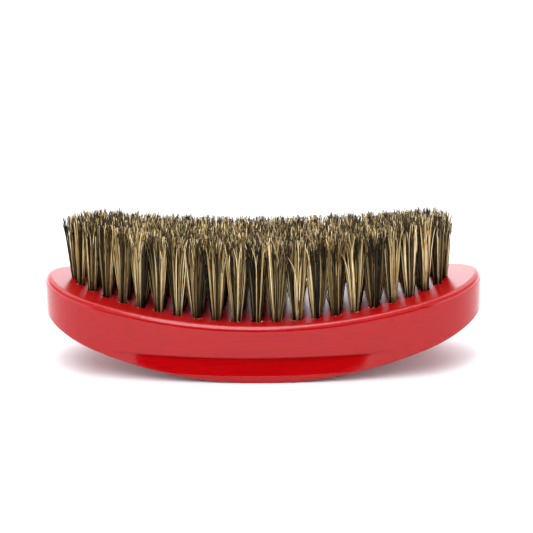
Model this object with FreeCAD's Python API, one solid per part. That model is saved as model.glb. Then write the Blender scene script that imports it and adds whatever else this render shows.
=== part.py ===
import FreeCAD, Part
import math
import os

# Beard brush with a one-piece wooden back, in millimetres.
# X runs along the brush, Y across it, and Z up. The bristles point up.
# The origin is the middle of the small flat that the back rests on.
#
# The wood is one block. Its plan is an oval, its face is hollow along the length,
# its back is rounded the other way, and a finger groove is milled along each long side.
# Holes are drilled straight down into the face, and each holds a tuft of bristle
# folded under a flat wire anchor.

V = FreeCAD.Vector

# ---------------------------------------------------------------- wooden back
LENGTH = 130.0          # end to end
WIDTH = 57.0            # across the middle
SIDE_RADIUS = 200.0     # plan radius of the two long sides
WAIST = 16.5            # thickness at mid-length
FACE_RADIUS = 206.0     # hollow of the bristle face, side view
BACK_RADIUS = 142.0     # rounding of the back, side view
LAND_LENGTH = 16.0      # flat on the back, along the brush
FACE_EDGE = 1.6         # rounding between face and wall
BACK_EDGE = 0.9         # rounding between back and wall

# -------------------------------------------------------------- finger groove
# A ledge under a crisp edge, then a gentle roll back out to the wall. It is deepest at
# its middle and runs out at both ends.
GROOVE_REACH = 40.0     # from its middle to where it runs out
GROOVE_SHIFT = -2.6     # its middle sits this far off mid-length
GROOVE_DEPTH = 1.25     # at its middle
GROOVE_TOP = 7.7        # height of the crisp edge at its middle
GROOVE_TOP_RADIUS = 800.0   # the crisp edge rises a little towards both ends
GROOVE_FOOT = 1.5       # height of the roll's foot at its middle
GROOVE_FOOT_RADIUS = 600.0  # the foot rises less than the back, and so meets its edge
GROOVE_LEDGE = 0.7      # height of the ledge and the narrow bottom under it
GROOVE_ROLL = 0.15      # how far the roll bulges from a straight slope
GROOVE_SECTIONS = 13

# ---------------------------------------------------------------------- tufts
RING_COUNT = 4          # rows that follow the oval, on each side of a straight middle row
RING_LENGTH = 55.0      # half length of the outer ring
RING_WIDTH = 22.4       # half width of the outer ring
RING_STEP_X = 5.3       # how much shorter each oval is, at each end
RING_STEP_Y = 5.6       # distance between rows, across the brush
RING_POWER = 1.8        # fullness of the outer oval; 2 is an ellipse
RING_POWER_STEP = 0.1   # each oval inside is this much fuller
OUTER_TUFTS = 44        # in the outer ring, which closes on itself
ROOM = 4.65             # a tuft is left out where another stands closer than this
FIELD_SHIFT = -1.05     # the drilled field sits this far off mid-length
HOLE_RADIUS = 1.5
HOLE_DEPTH = 8.0        # below the face, on the hole's axis
STEM_RADIUS = 1.47      # tuft inside its hole
STEM_RISE = 0.5         # the tuft stays this long at hole size above the face
BRISTLE_LENGTH = 21.7   # free length above the face, at mid-length
CUT_RADIUS = 268.0      # the cut ends follow a flatter hollow than the face
FLARE_LIMIT = 2.7       # widest a tuft spreads at its cut end
FLARE_SHARE = 0.49      # share of the gap to the next tuft that one may fill
CUT_DOME = 0.8          # the middle of a cut end stands this much higher
CUT_LEVEL = 50.0        # beyond this distance from mid-length the cut ends stay level
FOOT_GAP = 0.1          # fold of the tuft above the bottom of the hole

# -------------------------------------------------------------------- anchors
ANCHOR_LENGTH = 2.98    # spans the hole
ANCHOR_THICK = 0.35
ANCHOR_TALL = 1.5
ANCHOR_LIFT = 1.2       # bottom of the anchor above the bottom of the hole
SLOT_EASE = 0.03        # the tuft's bristles part this much wider than the anchor

ROW_NAMES = (
    "row_1_front",
    "row_2",
    "row_3",
    "row_4",
    "row_5_middle",
    "row_6",
    "row_7",
    "row_8",
    "row_9_rear",
)


def arc_rise(x, radius):
    """Height of a circular arc above its lowest point, x along from it."""
    return radius - math.sqrt(radius * radius - x * x)


def face_height(x):
    """Height of the bristle face at x."""
    return WAIST + arc_rise(x, FACE_RADIUS)


# ----------------------------------------------------------------- the wood


def oval_face():
    """Plan of the block: two long arcs joined by two end arcs, all tangent."""
    half = LENGTH / 2
    side = WIDTH / 2
    end_radius = 2 * side * SIDE_RADIUS - half * half - side * side
    end_radius = end_radius / (2 * SIDE_RADIUS - 2 * half)
    end_x = half - end_radius
    side_y = side - SIDE_RADIUS
    reach = math.hypot(end_x, side_y)
    join_x = SIDE_RADIUS * end_x / reach
    join_y = side_y - SIDE_RADIUS * side_y / reach
    right = Part.Arc(V(join_x, join_y, 0), V(half, 0, 0), V(join_x, -join_y, 0))
    front = Part.Arc(V(join_x, -join_y, 0), V(0, -side, 0), V(-join_x, -join_y, 0))
    left = Part.Arc(V(-join_x, -join_y, 0), V(-half, 0, 0), V(-join_x, join_y, 0))
    rear = Part.Arc(V(-join_x, join_y, 0), V(0, side, 0), V(join_x, join_y, 0))
    edges = [arc.toShape() for arc in (right, front, left, rear)]
    return Part.Face(Part.Wire(edges))


def side_face(back_low):
    """Side view of the block, wider than the block itself, in the XZ plane."""
    x = LENGTH / 2 + 5
    top = face_height(x)
    low = back_low + arc_rise(x, BACK_RADIUS)
    y = -WIDTH
    face_arc = Part.Arc(V(-x, y, top), V(0, y, WAIST), V(x, y, top)).toShape()
    back_arc = Part.Arc(V(x, y, low), V(0, y, back_low), V(-x, y, low)).toShape()
    right = Part.makeLine(V(x, y, top), V(x, y, low))
    left = Part.makeLine(V(-x, y, low), V(-x, y, top))
    return Part.Face(Part.Wire([face_arc, right, back_arc, left]))


def rim_edges(block, height_at):
    """The edges of the block that lie all along a curved surface's height."""
    found = []
    for edge in block.Edges:
        points = edge.discretize(7)
        if all(abs(point.z - height_at(point.x)) < 0.01 for point in points):
            found.append(edge)
    return found


def groove_section(x):
    """Outline of what is cut away at x from the front wall, seen along the brush."""
    along = x - GROOVE_SHIFT
    fade = 1 - (along / GROOVE_REACH) ** 4
    wall = -WIDTH / 2 + arc_rise(x, SIDE_RADIUS)
    deep = wall + GROOVE_DEPTH * fade - 0.05
    top = GROOVE_TOP + arc_rise(along, GROOVE_TOP_RADIUS)
    foot = GROOVE_FOOT + arc_rise(along, GROOVE_FOOT_RADIUS)
    ledge = top - GROOVE_LEDGE
    run_out = 0.3 * fade + 0.1
    drop = (ledge - foot) * run_out / (deep - wall + 0.1)
    middle = V(x, (deep + wall) / 2 - GROOVE_ROLL * fade, (ledge + foot) / 2)
    out = wall - 4
    corners = (
        V(x, out, top + 0.2),
        V(x, deep - 0.1, top - 0.15),
        V(x, deep, ledge),
        V(x, wall - run_out, foot - drop),
        V(x, out, foot - drop),
    )
    edges = [
        Part.makeLine(corners[0], corners[1]),
        Part.makeLine(corners[1], corners[2]),
        Part.Arc(corners[2], middle, corners[3]).toShape(),
        Part.makeLine(corners[3], corners[4]),
        Part.makeLine(corners[4], corners[0]),
    ]
    return Part.Wire(edges)


def groove_cutter():
    """What is cut away along the front wall: the sections joined by one smooth skin."""
    sections = []
    for i in range(GROOVE_SECTIONS):
        x = GROOVE_SHIFT + GROOVE_REACH * (2 * i / (GROOVE_SECTIONS - 1) - 1)
        sections.append(groove_section(x))
    return Part.makeLoft(sections, True, False)


def wooden_back(tufts):
    """The block, with its edges rounded, its grooves milled and its holes drilled."""
    back_low = -arc_rise(LAND_LENGTH / 2, BACK_RADIUS)
    plan = oval_face()
    plan.translate(V(0, 0, -5))
    prism = plan.extrude(V(0, 0, 60))
    slab = side_face(back_low).extrude(V(0, 2 * WIDTH, 0))
    block = prism.common(slab)
    block = block.Solids[0]
    block = block.makeFillet(FACE_EDGE, rim_edges(block, face_height))
    back_rim = rim_edges(block, lambda x: back_low + arc_rise(x, BACK_RADIUS))
    block = block.makeFillet(BACK_EDGE, back_rim)
    front_groove = groove_cutter()
    rear_groove = front_groove.mirror(V(0, 0, 0), V(0, 1, 0))
    land = Part.makeBox(LENGTH, 2 * WIDTH, 5, V(-LENGTH / 2, -WIDTH, -5))
    block = block.cut([front_groove, rear_groove, land])
    holes = []
    for x, y, row, spread in tufts:
        bottom = face_height(x) - HOLE_DEPTH
        holes.append(Part.makeCylinder(HOLE_RADIUS, HOLE_DEPTH + 3, V(x, y, bottom)))
    block = block.cut(Part.Compound(holes))
    return block.Solids[0]


# ------------------------------------------------------- where the tufts stand


def quarter_oval(ring):
    """A fine walk along a quarter of one oval, from its side to its tip."""
    half_length = RING_LENGTH - RING_STEP_X * ring
    half_width = RING_WIDTH - RING_STEP_Y * ring
    power = RING_POWER + RING_POWER_STEP * ring
    steps = 4000
    walk = []
    travel = 0.0
    for i in range(steps + 1):
        angle = math.pi / 2 * i / steps
        x = half_length * math.sin(angle) ** (2 / power)
        y = half_width * max(math.cos(angle), 0.0) ** (2 / power)
        if i > 0:
            travel = travel + math.hypot(x - walk[-1][1], y - walk[-1][2])
        walk.append((travel, x, y))
    return walk


def spaced(walk, pitch):
    """Points along a walk at every whole pitch."""
    points = []
    for travel, x, y in walk:
        if travel >= pitch * len(points) - 1e-6:
            points.append((x, y))
    return points


def has_room(x, y, places):
    """True if no tuft stands too close to this point."""
    return all(math.hypot(x - other[0], y - other[1]) >= ROOM for other in places)


def tuft_places():
    """Every tuft as x, y and the number of its row, counted from the front.

    The outer ring is shared out evenly. The other rows keep its pitch and start from the
    same line across the middle, so that the tufts stand in columns there.
    """
    rear = 2 * RING_COUNT
    outer = quarter_oval(0)
    pitch = outer[-1][0] / (OUTER_TUFTS / 4)
    places = []
    for ring in range(RING_COUNT):
        walk = quarter_oval(ring)
        for x, y in spaced(walk, pitch):
            on_tip = ring == 0 and y < 0.1
            if not on_tip and (2 * y < ROOM or not has_room(x, -y, places)):
                continue
            for sign in (1, -1) if x > 0 else (1,):
                places.append((sign * x, 0.0 if on_tip else -y, ring))
                if not on_tip:
                    places.append((sign * x, y, rear - ring))
        tip = walk[-1][1]
        if ring > 0 and has_room(tip, 0.0, places):
            places.append((tip, 0.0, ring))
            places.append((-tip, 0.0, ring))
    for k in range(OUTER_TUFTS):
        if has_room(pitch * k, 0.0, places) and pitch * k < RING_LENGTH:
            for sign in (1, -1) if k > 0 else (1,):
                places.append((sign * pitch * k, 0.0, RING_COUNT))
    return [(FIELD_SHIFT + x, y, row) for x, y, row in places]


def with_spread(places):
    """Give every tuft the radius that it may flare to without meeting a neighbour."""
    result = []
    for i, (x, y, row) in enumerate(places):
        nearest = min(
            math.hypot(x - other[0], y - other[1])
            for j, other in enumerate(places)
            if j != i
        )
        result.append((x, y, row, min(FLARE_LIMIT, FLARE_SHARE * nearest)))
    return result


# -------------------------------------------------------- tufts and anchors


def anchor(x, y, ease):
    """The flat wire that holds a tuft down, lying along the brush."""
    bottom = face_height(x) - HOLE_DEPTH + ANCHOR_LIFT
    long = ANCHOR_LENGTH + 2 * ease
    thick = ANCHOR_THICK + 2 * ease
    tall = ANCHOR_TALL + 2 * ease
    corner = V(x - long / 2, y - thick / 2, bottom - ease)
    return Part.makeBox(long, thick, tall, corner)


def tuft(x, y, spread):
    """One tuft: a straight stem in the hole, then a flare up to the cut end."""
    base = face_height(x)
    foot = base - HOLE_DEPTH + FOOT_GAP
    cut = WAIST + BRISTLE_LENGTH + arc_rise(min(abs(x), CUT_LEVEL), CUT_RADIUS)
    outline = [
        V(0, 0, foot),
        V(STEM_RADIUS - 0.4, 0, foot),
        V(STEM_RADIUS, 0, foot + 0.4),
        V(STEM_RADIUS, 0, base + STEM_RISE),
        V(spread, 0, cut - 1.0),
        V(spread - 0.35, 0, cut),
        V(0, 0, cut + CUT_DOME),
        V(0, 0, foot),
    ]
    face = Part.Face(Part.makePolygon(outline))
    solid = face.revolve(V(0, 0, 0), V(0, 0, 1), 360)
    solid.translate(V(x, y, 0))
    return solid.cut(anchor(x, y, SLOT_EASE)).Solids[0]


def save(name, shape):
    """Write one node and say what it is made of."""
    shape.exportStep("parts/" + name + ".step")
    size = shape.BoundBox
    print(name, len(shape.Solids), "solids", round(shape.Volume), "mm3",
          round(size.XLength, 2), round(size.YLength, 2), round(size.ZLength, 2))


os.makedirs("parts", exist_ok=True)

tufts = with_spread(tuft_places())
print("tufts", len(tufts), "closest spread", round(min(t[3] for t in tufts), 2))

back = wooden_back(tufts)
save("wooden_back", back)
print("back valid", back.isValid(), "faces", len(back.Faces))

for number, row_name in enumerate(ROW_NAMES):
    bristles = []
    anchors = []
    for x, y, row, spread in tufts:
        if row == number:
            bristles.append(tuft(x, y, spread))
            anchors.append(anchor(x, y, 0.0))
    save("bristle_" + row_name, Part.Compound(bristles))
    save("anchor_" + row_name, Part.Compound(anchors))
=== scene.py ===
# %% [markdown]
# # A beard brush, finished in Blender
#
# The brush is one block of wood with a hollow face, a rounded back and a finger groove
# along each side. Nine rows of holes are drilled into the face, and every hole holds a
# tuft of hog bristle, folded over a short flat wire.
#
# The block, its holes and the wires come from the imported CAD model, and stay exactly
# where they are. The plain solids that stand for the tufts are swapped here for real
# bunches of hair. Everything is in metres, with the bristles pointing up.

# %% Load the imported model
import math

import bmesh
import bpy
import numpy as np
from mathutils import Matrix, Vector


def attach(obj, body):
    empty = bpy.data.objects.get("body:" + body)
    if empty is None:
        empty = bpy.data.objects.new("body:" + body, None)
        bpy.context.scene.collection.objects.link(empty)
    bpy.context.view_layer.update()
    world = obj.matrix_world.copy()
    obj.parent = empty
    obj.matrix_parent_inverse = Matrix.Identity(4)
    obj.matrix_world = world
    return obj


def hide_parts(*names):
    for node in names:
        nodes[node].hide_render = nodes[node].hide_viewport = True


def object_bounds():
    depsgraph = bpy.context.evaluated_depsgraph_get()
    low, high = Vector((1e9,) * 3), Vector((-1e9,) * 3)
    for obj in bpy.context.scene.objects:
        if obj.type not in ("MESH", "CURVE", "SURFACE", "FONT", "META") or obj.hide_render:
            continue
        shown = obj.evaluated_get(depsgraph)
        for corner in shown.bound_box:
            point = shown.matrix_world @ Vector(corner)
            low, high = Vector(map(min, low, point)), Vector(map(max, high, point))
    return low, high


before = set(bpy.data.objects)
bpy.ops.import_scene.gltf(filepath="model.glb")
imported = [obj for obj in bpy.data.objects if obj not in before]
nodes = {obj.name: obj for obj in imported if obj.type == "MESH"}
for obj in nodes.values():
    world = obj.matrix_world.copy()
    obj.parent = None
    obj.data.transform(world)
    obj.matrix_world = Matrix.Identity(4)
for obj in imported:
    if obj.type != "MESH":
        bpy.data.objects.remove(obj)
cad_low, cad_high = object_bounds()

MM = 0.001
print("CAD nodes:", len(nodes))
print("CAD box, mm:", [round((b - a) / MM, 1) for a, b in zip(cad_low, cad_high)])

# %% [markdown]
# Several finishes here need the same thing: a soft, uneven patchiness, stretched along
# one direction. Wood has it as grain, drawn wire has it as streaks, and a hair has it
# as bands along its length. One node group makes it, and each material gives it
# its own scale. It could be painted as a picture, but a picture has one resolution and
# a seam, and noise worked out from the position in space has neither.

# %% A shared node group for stretched patchiness


def make_streak_group():
    group = bpy.data.node_groups.new("stretched_streaks", "ShaderNodeTree")
    face = group.interface
    face.new_socket("Stretch", in_out="INPUT", socket_type="NodeSocketVector")
    detail = face.new_socket("Detail", in_out="INPUT", socket_type="NodeSocketFloat")
    detail.default_value = 4.0
    low = face.new_socket("Low", in_out="INPUT", socket_type="NodeSocketFloat")
    low.default_value = 0.35
    high = face.new_socket("High", in_out="INPUT", socket_type="NodeSocketFloat")
    high.default_value = 0.65
    face.new_socket("Mask", in_out="OUTPUT", socket_type="NodeSocketFloat")
    tree = group.nodes
    link = group.links.new
    given = tree.new("NodeGroupInput")
    result = tree.new("NodeGroupOutput")
    place = tree.new("ShaderNodeTexCoord")
    scale = tree.new("ShaderNodeVectorMath")
    scale.operation = "MULTIPLY"
    noise = tree.new("ShaderNodeTexNoise")
    noise.inputs["Scale"].default_value = 1.0
    noise.inputs["Roughness"].default_value = 0.6
    spread = tree.new("ShaderNodeMapRange")
    spread.interpolation_type = "SMOOTHSTEP"
    link(place.outputs["Object"], scale.inputs[0])
    link(given.outputs["Stretch"], scale.inputs[1])
    link(scale.outputs["Vector"], noise.inputs["Vector"])
    link(given.outputs["Detail"], noise.inputs["Detail"])
    link(noise.outputs["Fac"], spread.inputs["Value"])
    link(given.outputs["Low"], spread.inputs["From Min"])
    link(given.outputs["High"], spread.inputs["From Max"])
    link(spread.outputs["Result"], result.inputs["Mask"])
    return group


streak_group = make_streak_group()
print("group", streak_group.name, "with", len(streak_group.nodes), "nodes")

# %% Small helpers that every material uses


def new_material(name):
    material = bpy.data.materials.new(name)
    material.use_nodes = True
    material.node_tree.nodes.clear()
    out = material.node_tree.nodes.new("ShaderNodeOutputMaterial")
    shader = material.node_tree.nodes.new("ShaderNodeBsdfPrincipled")
    material.node_tree.links.new(shader.outputs["BSDF"], out.inputs["Surface"])
    return material, shader


def add_streaks(material, stretch, detail=4.0, low=0.35, high=0.65):
    node = material.node_tree.nodes.new("ShaderNodeGroup")
    node.node_tree = streak_group
    node.inputs["Stretch"].default_value = stretch
    node.inputs["Detail"].default_value = detail
    node.inputs["Low"].default_value = low
    node.inputs["High"].default_value = high
    return node.outputs["Mask"]


def mix_colours(material, mask, first, second, how="MIX"):
    mix = material.node_tree.nodes.new("ShaderNodeMix")
    mix.data_type = "RGBA"
    mix.blend_type = how
    for number, value in ((0, mask), (6, first), (7, second)):
        socket = mix.inputs[number]
        if isinstance(value, bpy.types.NodeSocket):
            material.node_tree.links.new(value, socket)
        elif isinstance(value, float):
            socket.default_value = value
        else:
            socket.default_value = (*value, 1.0)
    return mix.outputs[2]


def mapped(material, value, low, high, new_low, new_high):
    node = material.node_tree.nodes.new("ShaderNodeMapRange")
    material.node_tree.links.new(value, node.inputs["Value"])
    node.inputs["From Min"].default_value = low
    node.inputs["From Max"].default_value = high
    node.inputs["To Min"].default_value = new_low
    node.inputs["To Max"].default_value = new_high
    return node.outputs["Result"]


def weakened(material, mask, share):
    return mapped(material, mask, 0.0, 1.0, 0.0, share)


def add_bump(material, height, strength, depth):
    bump = material.node_tree.nodes.new("ShaderNodeBump")
    bump.inputs["Strength"].default_value = strength
    bump.inputs["Distance"].default_value = depth
    material.node_tree.links.new(height, bump.inputs["Height"])
    return bump


print("helpers ready")

# %% [markdown]
# The block is close-grained wood under red lacquer. The colour sits in the lacquer, so
# the grain only shows as faint darker lines along the brush. Round the sides the lacquer
# was rubbed down smooth and reflects sharply. The face is a little duller, because it can't
# be rubbed down between the holes, so the roughness depends on which way the surface faces.
# The lacquer isn't quite flat either: it follows the grain a little and has the soft ripple
# of a sprayed finish, so a small bump goes into the normal.

# %% Red lacquer over wood
RED = (0.355, 0.0014, 0.0026)
RED_DEEP = (0.265, 0.0010, 0.0016)
CLOUD_SHARE = 0.15     # how strongly the deeper red shows in broad patches
SIDE_ROUGHNESS = 0.1
FACE_ROUGHNESS = 0.29
TILT_SIDE, TILT_FACE = 0.82, 0.97     # upward part of the normal, where sides turn into face
RIPPLE_STRENGTH, RIPPLE_DEPTH = 0.12, 0.02 * MM
GRAIN_STRENGTH, GRAIN_DEPTH = 0.22, 0.01 * MM


def lacquered_wood():
    material, shader = new_material("red_lacquered_wood")
    link = material.node_tree.links.new
    grain = add_streaks(material, (55.0, 1700.0, 2000.0), detail=4.0, low=0.42, high=0.78)
    cloud = add_streaks(material, (30.0, 60.0, 60.0), detail=2.0, low=0.3, high=0.7)
    colour = mix_colours(material, grain, RED, RED_DEEP)
    colour = mix_colours(material, weakened(material, cloud, CLOUD_SHARE), colour, RED_DEEP)
    link(colour, shader.inputs["Base Color"])
    facing = material.node_tree.nodes.new("ShaderNodeTexCoord")
    axes = material.node_tree.nodes.new("ShaderNodeSeparateXYZ")
    link(facing.outputs["Normal"], axes.inputs["Vector"])
    duller = mapped(material, axes.outputs["Z"], TILT_SIDE, TILT_FACE,
                    SIDE_ROUGHNESS, FACE_ROUGHNESS)
    link(duller, shader.inputs["Roughness"])
    ripple = add_streaks(material, (260.0, 420.0, 420.0), detail=1.0, low=0.2, high=0.8)
    soft = add_bump(material, ripple, RIPPLE_STRENGTH, RIPPLE_DEPTH)
    fine = add_bump(material, grain, GRAIN_STRENGTH, GRAIN_DEPTH)
    link(soft.outputs["Normal"], fine.inputs["Normal"])
    link(fine.outputs["Normal"], shader.inputs["Normal"])
    shader.inputs["IOR"].default_value = 1.5
    shader.inputs["Specular IOR Level"].default_value = 0.36
    return material


back_object = nodes["wooden_back"]
lacquer = lacquered_wood()
back_object.data.materials.clear()
back_object.data.materials.append(lacquer)
print("block finished with", lacquer.name)

# %% [markdown]
# Each wire at the bottom of a hole is a snip of drawn flat wire. Nobody sees it once the
# tuft is in, but it's a real piece, so it gets real metal: dull, slightly streaked along
# its length by the drawing die.

# %% Drawn wire for the anchors
WIRE_BRIGHT = (0.62, 0.61, 0.58)
WIRE_DULL = (0.45, 0.44, 0.41)


def drawn_wire():
    material, shader = new_material("drawn_flat_wire")
    streaks = add_streaks(material, (300.0, 6000.0, 6000.0), detail=3.0, low=0.3, high=0.7)
    colour = mix_colours(material, streaks, WIRE_BRIGHT, WIRE_DULL)
    material.node_tree.links.new(colour, shader.inputs["Base Color"])
    shader.inputs["Metallic"].default_value = 1.0
    shader.inputs["Roughness"].default_value = 0.38
    return material


wire = drawn_wire()
anchor_rows = sorted(name for name in nodes if name.startswith("anchor_"))
for name in anchor_rows:
    nodes[name].data.materials.clear()
    nodes[name].data.materials.append(wire)
print("rows of anchors finished:", len(anchor_rows))

# %% [markdown]
# The tufts have to stand exactly where the holes are. The holes' places aren't typed in
# again: each anchor wire lies across the middle of its own hole, so the middle of every
# separate wire, read from the CAD mesh, is the middle of a tuft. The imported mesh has
# split corners, so the corners are merged in a scratch copy before its islands are
# walked.

# %% Find every hole from its anchor
FACE_ABOVE_ANCHOR = 6.05 * MM     # from the middle of a wire up to the mouth of its hole
SAME_CORNER = 0.001 * MM          # split corners closer than this are one corner
ON_AXIS = 0.3 * MM                # points this near to a tuft's axis are on it


def island_middles(mesh):
    scratch = bmesh.new()
    scratch.from_mesh(mesh)
    bmesh.ops.remove_doubles(scratch, verts=scratch.verts, dist=SAME_CORNER)
    left = set(scratch.verts)
    middles = []
    while left:
        stack = [left.pop()]
        island = []
        while stack:
            vert = stack.pop()
            island.append(vert.co.copy())
            for edge in vert.link_edges:
                other = edge.other_vert(vert)
                if other in left:
                    left.remove(other)
                    stack.append(other)
        middles.append(sum(island, Vector()) / len(island))
    scratch.free()
    return sorted(middles, key=lambda point: (round(point.x, 5), round(point.y, 5)))


def tall_at(mesh, x, y):
    """Height of the CAD tuft that stands at x, y: its highest point on its own axis."""
    points = np.empty(len(mesh.vertices) * 3)
    mesh.vertices.foreach_get("co", points)
    points = points.reshape(-1, 3)
    near = np.hypot(points[:, 0] - x, points[:, 1] - y) < ON_AXIS
    return points[near, 2].max()


holes = []
for name in anchor_rows:
    row = name.replace("anchor_", "bristle_")
    for middle in island_middles(nodes[name].data):
        mouth = middle.z + FACE_ABOVE_ANCHOR
        top = tall_at(nodes[row].data, middle.x, middle.y)
        holes.append({"row": row, "x": middle.x, "y": middle.y, "mouth": mouth, "top": top})
free = [(hole["top"] - hole["mouth"]) / MM for hole in holes]
print("holes:", len(holes), "free length, mm:", round(min(free), 1), "to", round(max(free), 1))

# %% [markdown]
# A tuft in the middle of the field leans on its neighbours all round. One on the rim has
# neighbours on one side only, so it needs to be known as a rim tuft, together with the way
# inward. Adding up the directions to a tuft's neighbours gives both: inside the field they
# cancel, and on the rim they point inward.

# %% Find the rim tufts
NEIGHBOUR = 7.5 * MM     # tufts this near to each other press on each other
EDGE_PULL = 1.8          # neighbours on one side only add up to about this
TINY = 1e-9              # stands in for the pull of neighbours that cancel
ON_RIM = 0.9             # tufts that are pulled one way this much are counted as on the rim

places = np.array([(hole["x"], hole["y"]) for hole in holes])
towards = places[None] - places[:, None]
apart = np.hypot(towards[..., 0], towards[..., 1])
apart[np.diag_indices(len(holes))] = 1.0     # a tuft isn't its own neighbour
for hole, ways, gaps in zip(holes, towards, apart):
    near = gaps < NEIGHBOUR
    inward = (ways[near] / gaps[near, None]).sum(axis=0)
    hole["inward"] = inward / max(np.hypot(*inward), TINY)
    hole["outer"] = min(np.hypot(*inward) / EDGE_PULL, 1.0)     # 1 at the rim, 0 inside
print("closest neighbours, mm:", round(apart.min() / MM, 2))
print("tufts on the rim:", sum(hole["outer"] > ON_RIM for hole in holes))

# %% [markdown]
# Natural bristle is never one colour. Most hairs are straw or tan, some are brown, and
# a good share are nearly black, and they lie in locks of one kind because they came off the
# animal together. Every hair is also painted darker at its root: a painted shade, for the
# little light that gets in down there. The cut ends differ from hair to hair: most are
# darker than the hair below them and about one in five is paler. The colour therefore comes
# from two numbers stored on each hair when it is made, its tone and how far along it we are.
# The shared streaks add a little banding, and some patches of a warmer brown.

# %% Bristle
BRISTLE_SHADES = (             # tone, then colour
    (0.0, (0.013, 0.010, 0.006)),
    (0.25, (0.055, 0.036, 0.015)),
    (0.5, (0.23, 0.155, 0.055)),
    (0.75, (0.54, 0.39, 0.16)),
    (1.0, (0.97, 0.81, 0.47)),
)
BAND, BAND_SHARE = (0.5, 0.5, 0.5), 0.3
WARM, WARM_SHARE = (0.94, 0.68, 0.42), 0.85
# painted shade: every hair is darkened towards its root, for the little light that gets in
# there
ROOT_SHADE, ROOT_SHADE_SHARE = (0.16, 0.12, 0.10), 0.75
ROOT_ENDS = 0.55               # how far along the hair the darkness of the root reaches


def bristle_material():
    material, shader = new_material("natural_bristle")
    tree = material.node_tree
    tone = tree.nodes.new("ShaderNodeAttribute")
    tone.attribute_name = "tone"
    along = tree.nodes.new("ShaderNodeAttribute")
    along.attribute_name = "along"
    ramp = tree.nodes.new("ShaderNodeValToRGB")
    while len(ramp.color_ramp.elements) < len(BRISTLE_SHADES):
        ramp.color_ramp.elements.new(0.5)
    for element, (position, colour) in zip(ramp.color_ramp.elements, BRISTLE_SHADES):
        element.position = position
        element.color = (*colour, 1.0)
    tree.links.new(tone.outputs["Fac"], ramp.inputs["Fac"])
    bands = add_streaks(material, (500.0, 500.0, 160.0), detail=3.0, low=0.3, high=0.7)
    warm = add_streaks(material, (1600.0, 1600.0, 500.0), detail=2.0, low=0.5, high=0.66)
    # painted shade at the root, strongest at the root and gone by ROOT_ENDS along the hair
    root = mapped(material, along.outputs["Fac"], 0.0, ROOT_ENDS, ROOT_SHADE_SHARE, 0.0)
    colour = ramp.outputs["Color"]
    for mask, tint in (
        (weakened(material, bands, BAND_SHARE), BAND),
        (weakened(material, warm, WARM_SHARE), WARM),
        (root, ROOT_SHADE),
    ):
        colour = mix_colours(material, mask, colour, tint, "MULTIPLY")
    tree.links.new(colour, shader.inputs["Base Color"])
    shader.inputs["Roughness"].default_value = 0.5
    shader.inputs["Specular IOR Level"].default_value = 0.12
    return material


bristle = bristle_material()
print("finish", bristle.name)

# %% [markdown]
# A tuft is a bundle of about a hundred hairs. Blender has a hair system, but what has to be
# handed on is plain mesh, so each hair is built as a slim closed tube with three sides,
# which is round enough at a third of a millimetre. All the hairs of a tuft start inside the
# hole, packed tight, and spread as they rise until they meet the next tuft. A tuft on the
# rim has nothing to lean on at its open side and stands straighter there. Hairs of one
# lock lean together, which gives the tuft its strands and gaps, and the tops are cut
# along the hollow of the block, with about a third of the hairs short of the cut.
#
# First the tubes. All the hairs of a tuft are made at once: their points are one array, and
# so are the numbers of the corners of their faces.

# %% Turn centre lines into closed tubes
SIDES = 3


def tubes(centres, radii):
    """Closed tubes around many centre lines at once: centres is hairs x rings x 3."""
    count, rings = centres.shape[:2]
    turn = np.linspace(0, 2 * math.pi, SIDES, endpoint=False)
    circle = np.stack([np.cos(turn), np.sin(turn), np.zeros(SIDES)], axis=-1)
    points = centres[:, :, None, :] + radii[:, :, None, None] * circle[None, None]
    points = points.reshape(-1, 3)
    hair = np.arange(count)[:, None, None] * rings * SIDES
    ring = np.arange(rings - 1)[None, :, None] * SIDES
    side = np.arange(SIDES)[None, None, :]
    after = (np.arange(SIDES)[None, None, :] + 1) % SIDES
    low = hair + ring
    high = low + SIDES
    corners = [low + side, low + after, high + after, high + side]
    quads = np.stack(corners, axis=-1).reshape(-1, 4)
    start = np.arange(count)[:, None] * rings * SIDES
    foot = start + np.arange(SIDES)[::-1][None]
    tip = start + (rings - 1) * SIDES + np.arange(SIDES)[None]
    return points, quads.tolist() + foot.tolist() + tip.tolist()


print("a tube has", SIDES, "sides")

# %% [markdown]
# Now the hairs of one tuft. Each lock gets a place in the hole and a place in the cut end,
# and each hair keeps its own small offset from its lock. How far a hair has moved from its
# root to its end follows the height, so an inner tuft opens out low down and a rim tuft
# opens evenly. The last stretch is frizzy, the middle bends a little, and a few stray
# hairs do both more strongly. Lengths are in metres, like everything else.

# %% Sizes of a tuft
STEPS = 7                  # pieces that a hair is divided into along its length
HAIRS = 104
START_BELOW = 1.2 * MM     # hairs start this far down the hole
LOCKS_LOW, LOCKS_HIGH = 17, 25
GOLDEN_TURN = math.pi * (3 - math.sqrt(5))     # spaces the locks evenly over the hole
TURN_NOISE = 0.25          # radians
REACH_NOISE = 0.1          # of the flare's radius
SPREAD = 3.05 * MM         # a tuft flares to this radius
SPREAD_LOW, SPREAD_HIGH = 0.94, 1.06
ROOT_REACH = 1.02 * MM     # the outer hairs leave the hole this far from its middle
INNER_ROOM = 0.2 * MM      # tufts away from the rim fill their holes this much better
INNER_FLARE = 0.4 * MM     # and they flare this much wider
RIM_UPRIGHT = 0.68         # how much of the outward lean a tuft on the rim loses
OPENING_INNER, OPENING_RIM = 0.5, 1.0     # power of the height that the spreading follows
ROOT_SCATTER = 0.14 * MM   # hairs of a lock, round its middle
END_SCATTER = 0.27 * MM
END_NOISE = 0.13 * MM
STRAY_SHARE, STRAY_LOOSE = 0.07, 2.6
FRIZZ = 0.62 * MM
FRIZZ_LOOSE = 1.5          # stray hairs are no more than this much frizzier
FRIZZ_POWER = 7            # keeps the frizz to the cut end
HAIR_BEND = 0.13 * MM
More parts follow.
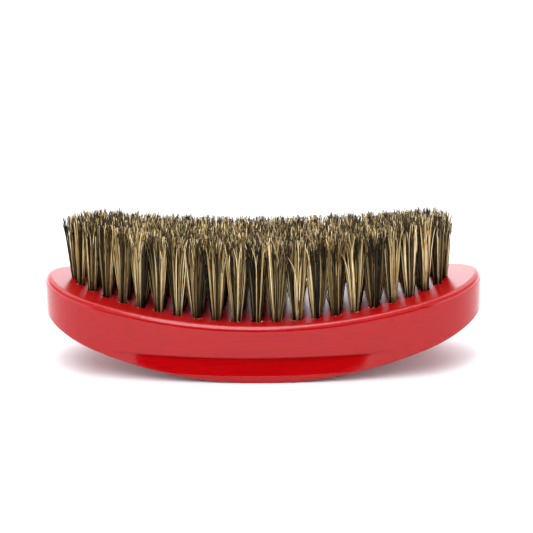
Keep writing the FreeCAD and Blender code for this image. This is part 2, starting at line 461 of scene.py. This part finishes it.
LOCK_BEND = 0.16 * MM
DOME = 1.2 * MM            # the outside of a cut end is this much lower
TRIM_MEAN, TRIM_NOISE = 0.2 * MM, 0.45 * MM
SHORT_SHARE = 0.35         # hairs that end below the cut, by these lengths
SHORT_LEAST, SHORT_MOST = 0.5 * MM, 4.0 * MM
RING_POWER = 0.85          # brings the rings closer together near the cut
THIN, THICK = 0.11 * MM, 0.2 * MM     # radius of a hair
TAPER, TIP = 0.25, 0.45    # a hair loses this share by the top, and ends in a tip this wide
LOCK_TONES = [0.04, 0.3, 0.64, 0.88]
LOCK_SHARES = [0.30, 0.14, 0.28, 0.28]
TONE_NOISE = 0.21
RIM_SHADE = 0.12           # the outside of a lock is in its own shade
CUT_SHADE, CUT_NOISE, CUT_POWER = -0.31, 0.38, 4     # cut ends differ from hair to hair
print("hairs in a tuft:", HAIRS, "in", LOCKS_LOW, "to", LOCKS_HIGH - 1, "locks")

# %% Place the hairs of one tuft


def hair_lines(rng, hole):
    """For one tuft's hairs: centre lines, radii, tones and how far along each ring is."""
    inner = 1 - hole["outer"]
    locks = rng.integers(LOCKS_LOW, LOCKS_HIGH)
    number = np.arange(locks)
    angle = GOLDEN_TURN * number + rng.uniform(0, 2 * math.pi)
    angle = angle + rng.normal(0, TURN_NOISE, locks)
    reach = np.sqrt((number + 0.5) / locks)
    aim = np.stack([np.cos(angle), np.sin(angle)], axis=-1)
    lock_root = aim * reach[:, None]
    lock_end = aim * (reach + rng.normal(0, REACH_NOISE, locks))[:, None]
    lock_tone = rng.choice(LOCK_TONES, locks, p=LOCK_SHARES)

    lock_of = rng.integers(0, locks, HAIRS)
    inside = rng.normal(0, 1.0, (HAIRS, 2))     # a hair's place in its own lock
    root_reach = ROOT_REACH + INNER_ROOM * inner
    root = lock_root[lock_of] * root_reach + inside * ROOT_SCATTER
    too_far = np.hypot(root[:, 0], root[:, 1]) / root_reach
    root = root / np.maximum(too_far, 1.0)[:, None]
    spread = (SPREAD + INNER_FLARE * inner) * rng.uniform(SPREAD_LOW, SPREAD_HIGH)
    stray = rng.uniform(0, 1, HAIRS) < STRAY_SHARE
    loose = np.where(stray, STRAY_LOOSE, 1.0)[:, None]
    scatter = END_SCATTER * inside + rng.normal(0, END_NOISE, (HAIRS, 2))
    end = lock_end[lock_of] * spread + scatter * loose
    outward = np.maximum(-(end @ hole["inward"]), 0.0)
    end = end + (outward * hole["outer"] * RIM_UPRIGHT)[:, None] * hole["inward"]
    frizz = rng.normal(0, FRIZZ, (HAIRS, 2)) * np.minimum(loose, FRIZZ_LOOSE)
    bend = rng.normal(0, HAIR_BEND, (HAIRS, 2)) * loose
    bend = bend + rng.normal(0, LOCK_BEND, (locks, 2))[lock_of]

    length = hole["top"] - hole["mouth"]
    trim = rng.normal(TRIM_MEAN, TRIM_NOISE, HAIRS) - DOME * reach[lock_of] ** 2
    short = rng.uniform(0, 1, HAIRS) < SHORT_SHARE
    trim = np.where(short, trim - rng.uniform(SHORT_LEAST, SHORT_MOST, HAIRS), trim)
    top = hole["top"] + trim

    t = np.linspace(0, 1, STEPS + 1) ** RING_POWER
    above = START_BELOW / (length + START_BELOW)
    rise = np.clip((t - above) / (1 - above), 0, 1)
    opening = OPENING_INNER + (OPENING_RIM - OPENING_INNER) * hole["outer"]
    out = (rise ** opening)[None, :, None]
    flat = root[:, None] * (1 - out) + end[:, None] * out
    flat = flat + bend[:, None] * np.sin(rise * math.pi)[None, :, None]
    flat = flat + frizz[:, None] * (rise ** FRIZZ_POWER)[None, :, None]
    start = hole["mouth"] - START_BELOW
    height = start + (top - start)[:, None] * t[None]
    flat = flat + np.array([hole["x"], hole["y"]])
    lines = np.concatenate([flat, height[:, :, None]], axis=-1)

    thick = rng.uniform(THIN, THICK, HAIRS)
    taper = 1.0 - TAPER * rise
    taper[-1] = TIP
    rim = np.hypot(inside[:, 0], inside[:, 1])
    # painted shade: hairs on the outside of a lock are set darker, standing in for the shade a
    # lock casts on itself
    tone = lock_tone[lock_of] + rng.normal(0, TONE_NOISE, HAIRS) - RIM_SHADE * (rim - 1.0)
    at_cut = rng.normal(CUT_SHADE, CUT_NOISE, HAIRS)
    tone = np.clip(tone[:, None] + at_cut[:, None] * (rise ** CUT_POWER)[None], 0, 1)
    radii = thick[:, None] * taper[None]
    return lines, radii, tone, np.broadcast_to(rise, (HAIRS, STEPS + 1))


print("hair_lines ready")

# %% Make a mesh of one tuft


def hair_object(name, lines, radii, tone, rise):
    points, faces = tubes(lines, radii)
    mesh = bpy.data.meshes.new(name)
    mesh.from_pydata(points.tolist(), [], faces)
    for label, values in (("tone", tone), ("along", rise)):
        layer = mesh.attributes.new(label, "FLOAT", "POINT")
        per_point = np.repeat(values.reshape(-1), SIDES)     # all round a ring is one value
        layer.data.foreach_set("value", per_point.astype(np.float32))
    mesh.polygons.foreach_set("use_smooth", np.ones(len(mesh.polygons), dtype=bool))
    mesh.materials.append(bristle)
    piece = bpy.data.objects.new(name, mesh)
    bpy.context.scene.collection.objects.link(piece)
    return piece


print("one hair has", STEPS * SIDES + 2, "faces")

# %% Fill every hole
HAIR_SEED = 22


def fill_holes():
    rng = np.random.default_rng(HAIR_SEED)
    counts = {}
    pieces = []
    for hole in holes:
        counts[hole["row"]] = counts.get(hole["row"], 0) + 1
        row_label = hole["row"].replace("bristle_", "")
        name = f"tuft_{row_label}_{counts[hole['row']]:02d}"
        piece = hair_object(name, *hair_lines(rng, hole))
        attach(piece, "root")
        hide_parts(hole["row"])
        pieces.append(piece)
    return pieces


tufts = fill_holes()
print("tufts:", len(tufts), "faces:", sum(len(piece.data.polygons) for piece in tufts))

# %% [markdown]
# The holes are drilled after the block is lacquered, so the drill leaves a few specks of
# pale chipped wood and lacquer round each mouth. They are tiny, but they catch the light
# at the foot of every tuft. Each is a crumb with six corners, pushed out of shape at
# random, and all the crumbs together are one mesh.

# %% Chips round the hole mouths
HOLE_RADIUS = 1.5 * MM
CHIPS_PER_HOLE = 7
CHIP_SEED = 7
CHIP_STRAY = 0.12 * MM        # mean distance of a chip from the edge of the mouth
CHIP_LEAST, CHIP_MOST = 0.05 * MM, 0.17 * MM
CHIP_SHAPE = np.array([1.4, 0.9, 0.7])
DENT_LEAST, DENT_MOST = 0.6, 1.5
FACE_RADIUS = 206.0 * MM      # the hollow of the face, which the chips lie on
PALE_WOOD = (0.80, 0.62, 0.48)
STAINED_WOOD = (0.62, 0.30, 0.24)


def chipped_wood():
    material, shader = new_material("chipped_wood")
    grain = add_streaks(material, (900.0, 4000.0, 4000.0), detail=2.0, low=0.35, high=0.65)
    colour = mix_colours(material, grain, PALE_WOOD, STAINED_WOOD)
    material.node_tree.links.new(colour, shader.inputs["Base Color"])
    shader.inputs["Roughness"].default_value = 0.7
    return material


def chip_mesh(rng):
    corners = np.array([(1, 0, 0), (-1, 0, 0), (0, 1, 0), (0, -1, 0), (0, 0, 1), (0, 0, -1)])
    sides = [
        (0, 2, 4), (2, 1, 4), (1, 3, 4), (3, 0, 4),
        (2, 0, 5), (1, 2, 5), (3, 1, 5), (0, 3, 5),
    ]
    points, faces = [], []
    for hole in holes:
        for _ in range(CHIPS_PER_HOLE):
            turn = rng.uniform(0, 2 * math.pi)
            away = HOLE_RADIUS + rng.exponential(CHIP_STRAY)
            size = rng.uniform(CHIP_LEAST, CHIP_MOST)
            dents = rng.uniform(DENT_LEAST, DENT_MOST, (len(corners), 1))
            shape = corners * size * dents * CHIP_SHAPE
            spin = rng.uniform(0, 2 * math.pi)
            cos, sin = math.cos(spin), math.sin(spin)
            flat = shape[:, :2] @ np.array([[cos, -sin], [sin, cos]])
            x = hole["x"] + away * math.cos(turn)
            y = hole["y"] + away * math.sin(turn)
            z = hole["mouth"] + (x * x - hole["x"] ** 2) / (2 * FACE_RADIUS)
            start = len(points)
            points.extend((x + a, y + b, z + c) for (a, b), c in zip(flat, shape[:, 2]))
            faces.extend(tuple(start + k for k in side) for side in sides)
    mesh = bpy.data.meshes.new("hole_mouth_chips")
    mesh.from_pydata(points, [], faces)
    return mesh


chips_mesh = chip_mesh(np.random.default_rng(CHIP_SEED))
chips_mesh.materials.append(chipped_wood())
chips = bpy.data.objects.new("hole_mouth_chips", chips_mesh)
bpy.context.scene.collection.objects.link(chips)
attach(chips, "root")
print("chips:", len(holes) * CHIPS_PER_HOLE, "faces:", len(chips_mesh.polygons))

# %% [markdown]
# The brush stands on its rounded back on a plain white floor. Shiny lacquer mostly shows
# what it mirrors, so the room round the brush is laid out for it: bright low walls whiten
# the ends of the face, and a dark gap low in front keeps the groove and the fillet above it
# a deep red. A tall narrow soft window in front and above is mirrored as the thin pale line
# along the upper edge, and a wide soft ceiling behind evens out the floor.

# %% Floor
FLOOR_REACH = 1.5
FLOOR_WHITE = 0.77


def add_floor():
    near, far, z = -FLOOR_REACH, FLOOR_REACH, cad_low[2]
    corners = [(near, near, z), (far, near, z), (far, far, z), (near, far, z)]
    mesh = bpy.data.meshes.new("floor")
    mesh.from_pydata(corners, [], [(0, 1, 2, 3)])
    floor = bpy.data.objects.new("floor", mesh)
    bpy.context.scene.collection.objects.link(floor)
    material, shader = new_material("white_paper")
    shader.inputs["Base Color"].default_value = (FLOOR_WHITE, FLOOR_WHITE, FLOOR_WHITE, 1.0)
    shader.inputs["Roughness"].default_value = 0.9
    mesh.materials.append(material)
    return floor


floor = add_floor()
print("floor reaches, m:", FLOOR_REACH, "with finish", floor.data.materials[0].name)

# %% [markdown]
# The room is a sky with three brightnesses: walls low down all round, a dimmer roof, and
# the dark gap, which is cut out of the walls by multiplying. The limits are parts of a
# direction one unit long: Z is how far up it looks, and Y how far to the back. Looked at
# directly, the room is a plain white sheet.

# %% The room round the brush
COOL = (0.95, 0.965, 1.0)     # studio light is a touch cooler than white
LOW_WALL = 3.55
ROOF = 0.95
WALL_TOP = (0.2, 0.52)        # Z, from all wall to all roof
GAP_SIDE = (-0.88, -0.66)     # Y, from all gap to no gap
GAP_TOP = (0.3, 0.42)         # Z, from all gap to no gap
SHEET = 1.3


def soft_range(tree, value, limits, at_low, at_high):
    node = tree.nodes.new("ShaderNodeMapRange")
    node.interpolation_type = "SMOOTHSTEP"
    tree.links.new(value, node.inputs["Value"])
    node.inputs["From Min"].default_value = limits[0]
    node.inputs["From Max"].default_value = limits[1]
    node.inputs["To Min"].default_value = at_low
    node.inputs["To Max"].default_value = at_high
    return node.outputs["Result"]


def maths(tree, how, first, second):
    node = tree.nodes.new("ShaderNodeMath")
    node.operation = how
    for socket, value in zip(node.inputs, (first, second)):
        if isinstance(value, float):
            socket.default_value = value
        else:
            tree.links.new(value, socket)
    return node.outputs[0]


def studio_world():
    world = bpy.data.worlds.new("white_studio")
    world.use_nodes = True
    tree = world.node_tree
    tree.nodes.clear()
    link = tree.links.new
    place = tree.nodes.new("ShaderNodeTexCoord")
    axes = tree.nodes.new("ShaderNodeSeparateXYZ")
    link(place.outputs["Generated"], axes.inputs["Vector"])
    walls = soft_range(tree, axes.outputs["Z"], WALL_TOP, LOW_WALL, ROOF)
    front = soft_range(tree, axes.outputs["Y"], GAP_SIDE, 1.0, 0.0)
    front_low = soft_range(tree, axes.outputs["Z"], GAP_TOP, 1.0, 0.0)
    gap = maths(tree, "MULTIPLY", front, front_low)
    strength = maths(tree, "MULTIPLY", walls, maths(tree, "SUBTRACT", 1.0, gap))
    room = tree.nodes.new("ShaderNodeBackground")
    room.inputs["Color"].default_value = (*COOL, 1.0)
    link(strength, room.inputs["Strength"])
    sheet = tree.nodes.new("ShaderNodeBackground")
    sheet.inputs["Color"].default_value = (1.0, 1.0, 1.0, 1.0)
    sheet.inputs["Strength"].default_value = SHEET
    seen = tree.nodes.new("ShaderNodeLightPath")
    both = tree.nodes.new("ShaderNodeMixShader")
    link(seen.outputs["Is Camera Ray"], both.inputs["Fac"])
    link(room.outputs["Background"], both.inputs[1])
    link(sheet.outputs["Background"], both.inputs[2])
    out = tree.nodes.new("ShaderNodeOutputWorld")
    link(both.outputs["Shader"], out.inputs["Surface"])
    return world


bpy.context.scene.world = studio_world()
print("walls", LOW_WALL, "roof", ROOF, "in", bpy.context.scene.world.name)

# %% Two soft lamps


def add_light(name, place, aim, size, power):
    data = bpy.data.lights.new(name, "AREA")
    data.shape = "RECTANGLE"
    data.size, data.size_y = size
    data.energy = power
    data.color = COOL
    lamp = bpy.data.objects.new(name, data)
    bpy.context.scene.collection.objects.link(lamp)
    lamp.location = place
    towards = Vector(aim) - Vector(place)
    lamp.rotation_euler = towards.to_track_quat("-Z", "Y").to_euler()
    return lamp


window = add_light(
    "soft_window", place=(-0.07, -0.376, 0.706), aim=(0, 0, 0), size=(0.25, 0.82), power=4.75
)
ceiling = add_light(
    "soft_ceiling", place=(0, 0.55, 0.9), aim=(0, 0.3, 0), size=(1.8, 1.1), power=13.0
)
for lamp in (window, ceiling):
    print(lamp.name, lamp.data.energy, "W")

# %% [markdown]
# The camera looks at the long side from a little above, about a third of a metre
# away. It turns about a point in the middle of the brush, so its place is given by that
# point, a distance and two angles. A third angle tilts the frame very slightly.

# %% Camera
AIM = Vector((1.279, 0.0, 27.37)) * MM
AWAY = 340.0 * MM
RISE = math.radians(12.297)
SWING = math.radians(1.841)
TILT = math.radians(-0.753)
LENS, SENSOR = 76.66, 36.0     # both in mm, as cameras have them


def add_camera():
    data = bpy.data.cameras.new("camera")
    data.sensor_width = SENSOR
    data.lens = LENS
    data.clip_start = 0.01
    camera = bpy.data.objects.new("camera", data)
    bpy.context.scene.collection.objects.link(camera)
    level = math.cos(RISE)
    back = Vector((math.sin(SWING) * level, -math.cos(SWING) * level, math.sin(RISE)))
    right = (-back).cross(Vector((0, 0, 1))).normalized()
    up = right.cross(-back)
    turn = Matrix((right, up, back)).transposed().to_4x4()
    place = Matrix.Translation(AIM + back * AWAY)
    camera.matrix_world = place @ turn @ Matrix.Rotation(TILT, 4, "Z")
    bpy.context.scene.camera = camera
    return camera


camera = add_camera()
bpy.context.scene.view_settings.view_transform = "Standard"
print("camera at, mm:", [round(v / MM) for v in camera.location])
